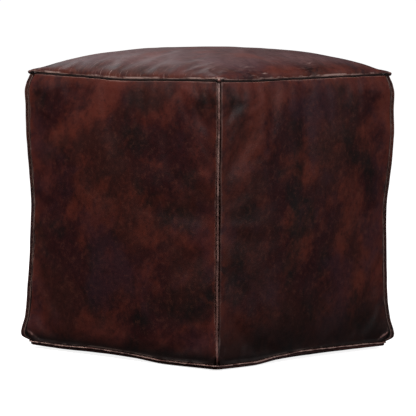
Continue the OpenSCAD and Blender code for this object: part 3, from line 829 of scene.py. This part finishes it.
def corner_path(q, f):
    """Points of a corner seam's line, between side q and the next one."""
    reach = HALF + corner_out(f, q) * WELT_FOOT(f) / ROOT2
    low, high = BASE_Z + BASE_WAVE[q](1.0) * MM, TOP_Z + TOP_WAVE[q](1.0) * MM
    return np.stack([reach, -reach, low + f * (high - low)], -1)


OUTWARD = np.array([DIAGONAL, -DIAGONAL, 0])
ACROSS = np.array([DIAGONAL, DIAGONAL, 0])


def corner_welt(name, q):
    """The welt in the corner seam to the right of side q."""
    f = np.linspace(0.003, 0.997, 300)
    path = corner_path(q, f)
    sideways = 0.4 * MM * waves(path, 0.05, 500 + q)[:, None] * ACROSS
    path += sideways + 0.3 * MM * waves(path, 0.04, 520 + q)[:, None] * OUTWARD
    out, across = (np.tile(turned(v, q), (len(f), 1)) for v in (OUTWARD, ACROSS))
    section = corner_section()
    obj = swept(name, turned(path, q), out, across, section)
    return mark_welt(obj, section, WELT_PROUD, len(f), 1.2 * MM)


for q, name in enumerate(CORNERS):
    leather = WELT_SHADED if q else WELT_LEATHER     # the front right one is paler; the rest take a darker copy, painted shade
    dress(corner_welt(f"welt_corner_{name}", q), leather, f"corner_welt_{name}")


def top_seam(s):
    """Plan of the top seam on the front side."""
    return s * top_edge(1.0), -top_edge(s)


def ring_path(plan, level, waves_of, count=160):
    """Closed path round the cover along the top or the base seam."""
    s = np.linspace(-1, 1, count, endpoint=False)
    x, y = plan(s)
    return np.concatenate([turned(np.stack([x, y, level + waves_of[q](s) * MM], -1), q) for q in range(4)])


def ring_welt(name, path, half, proud, deep, seed):
    """A folded strip in a seam that goes round the cover."""
    section = folded(half, proud, deep)
    path = path + (0.25 * MM * waves(path, 0.04, seed))[:, None] * [0, 0, 1]
    tangent = unit(np.roll(path, -1, 0) - np.roll(path, 1, 0))
    up = np.tile([0.0, 0.0, 1.0], (len(path), 1))
    obj = swept(name, path, unit(np.cross(tangent, up)), up, section, closed=True)
    return mark_welt(obj, section, proud, len(path), 1.6 * MM)


piece = ring_welt("welt_base", ring_path(base_seam, BASE_Z, BASE_WAVE), 0.85 * MM, 1.7 * MM, 8 * MM, 700)
dress(piece, WELT_BASE, "base_welt")
# the top welt takes the dark leather that stands for the shade in its groove
piece = ring_welt("welt_top", ring_path(top_seam, TOP_Z, TOP_WAVE), 0.88 * MM, -1.0 * MM, 7 * MM, 710)
dress(piece, GROOVE_SHADE_LEATHER, "top_welt")


# ---- Stitching ----

def threads(name, start, end, lift, thick=0.42 * MM, bow=0.35 * MM):
    """Stitches: short threads from start to end, each bowed the way lift says and thin at its ends."""
    t = np.linspace(0, 1, 9)
    ring = np.linspace(0, 2 * math.pi, 6, endpoint=False)
    along = unit(end - start)
    side = unit(np.cross(along, lift))
    mid = start[:, None] + t[:, None] * (end - start)[:, None]
    mid = mid + (bow * np.sin(math.pi * t))[:, None] * lift[:, None]
    r = thick * np.sqrt(np.clip(1 - (2 * t - 1) ** 6, 0.02, 1)) * (1 + 0.12 * np.sin(t * 6 * math.pi))
    co = (mid[:, :, None] + (r[:, None] * np.cos(ring))[..., None] * side[:, None, None]
          + (r[:, None] * np.sin(ring))[..., None] * lift[:, None, None])
    k, rows, around = co.shape[:3]
    base = np.arange(k)[:, None, None] * rows * around
    a, b = np.arange(rows - 1)[None, :, None] * around, np.arange(around)[None, None, :]
    nxt = (b + 1) % around
    near, far = base + a, base + a + around
    faces = np.stack([near + b, near + nxt, far + nxt, far + b], -1).reshape(-1, 4).tolist()
    for j in range(k):
        first, last = j * rows * around, (j * rows + rows - 1) * around
        faces += [[first + v for v in range(around - 1, -1, -1)], [last + v for v in range(around)]]
    return new_mesh(name, co.reshape(-1, 3), faces)


STITCH, STEP = 6 * MM, 8 * MM              # length of a stitch, and from one to the next
ZIP_STITCH, ZIP_STEP = 3.6 * MM, 5 * MM    # the same beside the zip
ZIP_ROW = SLOT_HALF + 2.5 * MM             # from the zip's line to the stitches beside it
STITCH_OFF = 1.6 * MM      # how far the threads of a ring seam lie above and below it
STITCH_IN = 6.5 * MM       # and how far in


def spaced(path, trim):
    """Starts and ends of stitches along an open path, trim clear of its ends."""
    length = np.r_[0, np.cumsum(np.linalg.norm(np.diff(path, axis=0), axis=1))]
    at = np.arange(trim, length[-1] - trim - STITCH, STEP)
    return [np.stack([np.interp(v, length, path[:, k]) for k in range(3)], -1) for v in (at, at + STITCH)]


def seam_threads(name, plan, level, waves_of):
    """Stitches above and below the welt of a seam that goes round the cover."""
    starts, ends, lifts = [], [], []
    s = np.linspace(-1, 1, 300)
    x, y = plan(s)
    for q in range(4):
        for side in (-1, 1):
            z = level + waves_of[q](s) * MM + side * STITCH_OFF
            path = np.stack([x, y + STITCH_IN, z], -1)
            first, last = spaced(path, 16 * MM)
            starts.append(turned(first, q))
            ends.append(turned(last, q))
            lifts.append(np.tile([0.0, 0.0, float(side)], (len(first), 1)))
    return threads(name, *(np.concatenate(v) for v in (starts, ends, lifts)), bow=0.1 * MM)


piece = seam_threads("stitches_top", top_seam, TOP_Z, TOP_WAVE)
dress(piece, THREAD, "top_seam_stitches")
piece = seam_threads("stitches_base", base_seam, BASE_Z, BASE_WAVE)
dress(piece, THREAD, "base_seam_stitches")

starts, ends, lifts = [], [], []
for q in range(4):
    path = corner_path(q, np.linspace(0.03, 0.975, 400))
    for side in (-1, 1):
        line = path - 0.4 * MM * OUTWARD + side * (WELT_HALF + 0.1 * MM) * ACROSS
        first, last = spaced(line, 2 * MM)
        starts.append(turned(first, q))
        ends.append(turned(last, q))
        lifts.append(np.tile(turned(side * ACROSS, q), (len(first), 1)))
piece = threads("stitches_corner", *(np.concatenate(v) for v in (starts, ends, lifts)), bow=0.15 * MM)
dress(piece, THREAD, "corner_seam_stitches")

x = np.arange(-ZIP_HALF + 2 * MM, ZIP_HALF - 6 * MM, ZIP_STEP)
first = np.concatenate([np.stack([x, y + 0 * x, VALLEY_H + 0 * x], -1) for y in (-ZIP_ROW, ZIP_ROW)])
down = np.tile([0.0, 0.0, -1.0], (len(first), 1))
piece = threads("stitches_zip", first, first + [ZIP_STITCH, 0, 0], down, bow=0.3 * MM)
dress(piece, THREAD, "zip_seam_stitches")


# ---- Zip ----

TAPE_IN, TAPE_OUT = 2 * MM, 16 * MM      # from the zip's line to the edges of a tape
TAPE_T = 0.35 * MM                       # half its thickness
CLOSE_UP = 1.7 * MM                      # how far each tape moves in, past the teeth
for side, name in ((-1, "front"), (1, "back")):
    x = np.linspace(-ZIP_HALF - 6 * MM, ZIP_HALF + 6 * MM, 260)
    ripple = 0.05 * MM * waves(np.stack([x, 0 * x, 0 * x], -1), 0.02, 800 + side)
    closing = -side * CLOSE_UP * ease(np.abs(x), ZIP_HALF - 7 * MM, ZIP_HALF - 3 * MM)
    path = np.stack([x, closing, TAPE_Z + ripple], -1)
    out = np.tile([0.0, float(side), 0.0], (len(x), 1))
    up = np.tile([0.0, 0.0, float(side)], (len(x), 1))
    section = [(TAPE_OUT, -TAPE_T), (TAPE_OUT + 0.2 * MM, 0), (TAPE_OUT, TAPE_T), (9 * MM, 0.8 * TAPE_T),
               (TAPE_IN + 1.6 * MM, TAPE_T), (TAPE_IN + 0.4 * MM, 1.5 * TAPE_T), (TAPE_IN, 0),
               (TAPE_IN + 0.4 * MM, -1.5 * TAPE_T), (TAPE_IN + 1.6 * MM, -TAPE_T), (9 * MM, -0.8 * TAPE_T)]
    dress(swept(f"zip_tape_woven_{name}", path, out, up, section), TAPE, f"zip_tape_{name}")

for name in ("teeth_front", "teeth_back", "top_stops", "bottom_stop", "slider", "pull"):
    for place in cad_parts[f"zip_{name}"].material_slots:
        place.material = BRASS


# ---- Bag and stuffing ----

BAG_RISE = 9.5 * MM        # how far the bag is pushed up over the zip


def filled_form(name, depth, cut, seed):
    """A closed bag at a depth under the cover, in rings over the base, up the sides and over the top."""
    s = crowd(44, 0.5) * cut
    rings = []

    def ring(points_of):
        rings.append(np.concatenate([turned(points_of(q), q) for q in range(4)]))

    for k in np.linspace(0.1, 1, 12):
        def points(q, half=(FLAT_HALF - 8 * MM) * k):
            x, y = s * half, -half + 0 * s
            p = turned(np.stack([x, y, 0 * x], -1), q)
            over_zip = BAG_RISE * (1 - ease(np.abs(p[:, 1]), 16 * MM, 60 * MM))
            return np.stack([x, y, 0.9 * MM + depth + over_zip], -1)
        ring(points)
    for f in np.linspace(0.035, 0.955, 46):
        def points(q, f=f):
            inward = np.array([1, 1, 0]) * depth / corner_line(f)
            return side_surface(s, np.full_like(s, f), q) * (1 - inward) + [0, depth * 0.3, 0]
        ring(points)
    for k in np.cos(np.linspace(0.16, 1, 14) * QUARTER * 0.95):
        def points(q, k=k):
            return top_surface(s * k, -k + 0 * s) - [0, 0, depth * 1.25]
        ring(points)
    co = np.stack(rings)
    centre = np.array([0, 0, co[..., 2].mean()])
    wave = waves(co, 0.05, seed) + 0.5 * waves(co, 0.02, seed + 1)
    co = co - unit(co - centre) * (0.64 * MM * (1 + wave) * (co[..., 2] > 14 * MM))[..., None]
    n, m = co.shape[:2]
    a, b = np.arange(n - 1)[:, None] * m, np.arange(m)[None, :]
    nxt = (b + 1) % m
    faces = np.stack([a + b, a + nxt, a + m + nxt, a + m + b], -1).reshape(-1, 4).tolist()
    foot, crown, last = n * m, n * m + 1, (n - 1) * m
    faces += [[foot, (j + 1) % m, j] for j in range(m)]
    faces += [[last + j, last + (j + 1) % m, crown] for j in range(m)]
    return new_mesh(name, np.concatenate([co.reshape(-1, 3), [co[0].mean(0), co[-1].mean(0)]]), faces)


piece = dress(filled_form("bag_calico", 4.6 * MM, 0.93, 900), CALICO, "inner_bag")
piece = dress(filled_form("bag_stuffing", 6.4 * MM, 0.92, 900), WADDING, "stuffing")


# ---- Stage, light and camera ----

CAM_AZ, CAM_EL, CAM_DIST = math.radians(42.28), math.radians(4.91), 5.0
LENS = 288.173             # focal length in mm
AIM_Z, AIM_SIDE = 0.2116, -1.6 * MM      # the point aimed at: its height, and how far it is to the side
ROLL = math.radians(0.46)


def way_to(az, el):
    """The way to an azimuth (0 at -Y, a quarter turn at +X) and an elevation, from the object."""
    return Vector((math.sin(az) * math.cos(el), -math.cos(az) * math.cos(el), math.sin(el)))


back = way_to(CAM_AZ, CAM_EL)
cam = bpy.data.objects.new("camera", bpy.data.cameras.new("camera"))
cam.data.sensor_width = 36
cam.data.lens = LENS
aim = Vector((AIM_SIDE * math.cos(CAM_AZ), AIM_SIDE * math.sin(CAM_AZ), AIM_Z))
cam.location = aim + back * CAM_DIST
cam.rotation_mode = "QUATERNION"
cam.rotation_quaternion = (-back).to_track_quat("-Z", "Y")
cam.rotation_quaternion = cam.rotation_quaternion @ Matrix.Rotation(ROLL, 3, "Z").to_quaternion()
cam.data.clip_end = 200
scene.collection.objects.link(cam)
scene.camera = cam

# The floor glows white as a backdrop, a little less round the pouf's foot, so that the shadows cast there show
# faintly.
floor = new_mesh("floor", [(-60, -60, 0), (60, -60, 0), (60, 60, 0), (-60, 60, 0)], [[0, 1, 2, 3]])
n = Nodes("floor")
away = n.new("ShaderNodeVectorMath", operation="LENGTH")
n.join(n.place, away.inputs[0])
floor.data.materials.append(n.finish(Base_Color=(0.9, 0.9, 0.9, 1), Roughness=0.9, Specular_IOR_Level=0.0,
                                     Emission_Color=(1, 1, 1, 1),
                                     Emission_Strength=n.span(away.outputs["Value"], 0.25, 0.8, 0.88, 1.0)))
floor.visible_glossy = False
floor.visible_diffuse = False

world = bpy.data.worlds.new("world")
scene.world = world
world.use_nodes = True
sky = world.node_tree.nodes["Background"]
sky.inputs["Color"].default_value = (1, 0.98, 0.97, 1)
sky.inputs["Strength"].default_value = 0.05


LIT = Vector((0, 0, 0.25))     # the point that the lights face


def area_light(name, az, el, distance, size, watts, tint):
    """A soft box at an azimuth and elevation, in degrees, from the point that it faces."""
    way = way_to(math.radians(az), math.radians(el))
    light = bpy.data.lights.new(name, "AREA")
    light.shape = "RECTANGLE"
    light.size, light.size_y = size
    light.energy = watts
    light.color = tint
    obj = bpy.data.objects.new(name, light)
    obj.location = LIT + way * distance
    obj.rotation_mode = "QUATERNION"
    obj.rotation_quaternion = way.to_track_quat("Z", "Y")
    scene.collection.objects.link(obj)


area_light("key", 4, 44, 2.6, (1.2, 1.0), 42, (1, 0.98, 0.96))
area_light("fill", 92, 28, 3.0, (1.4, 1.4), 36, (0.98, 0.98, 1))
area_light("back", 252, 34, 3.4, (2.6, 1.0), 20, (0.98, 0.97, 1))

scene.view_settings.view_transform = "Standard"
scene.view_settings.look = "None"
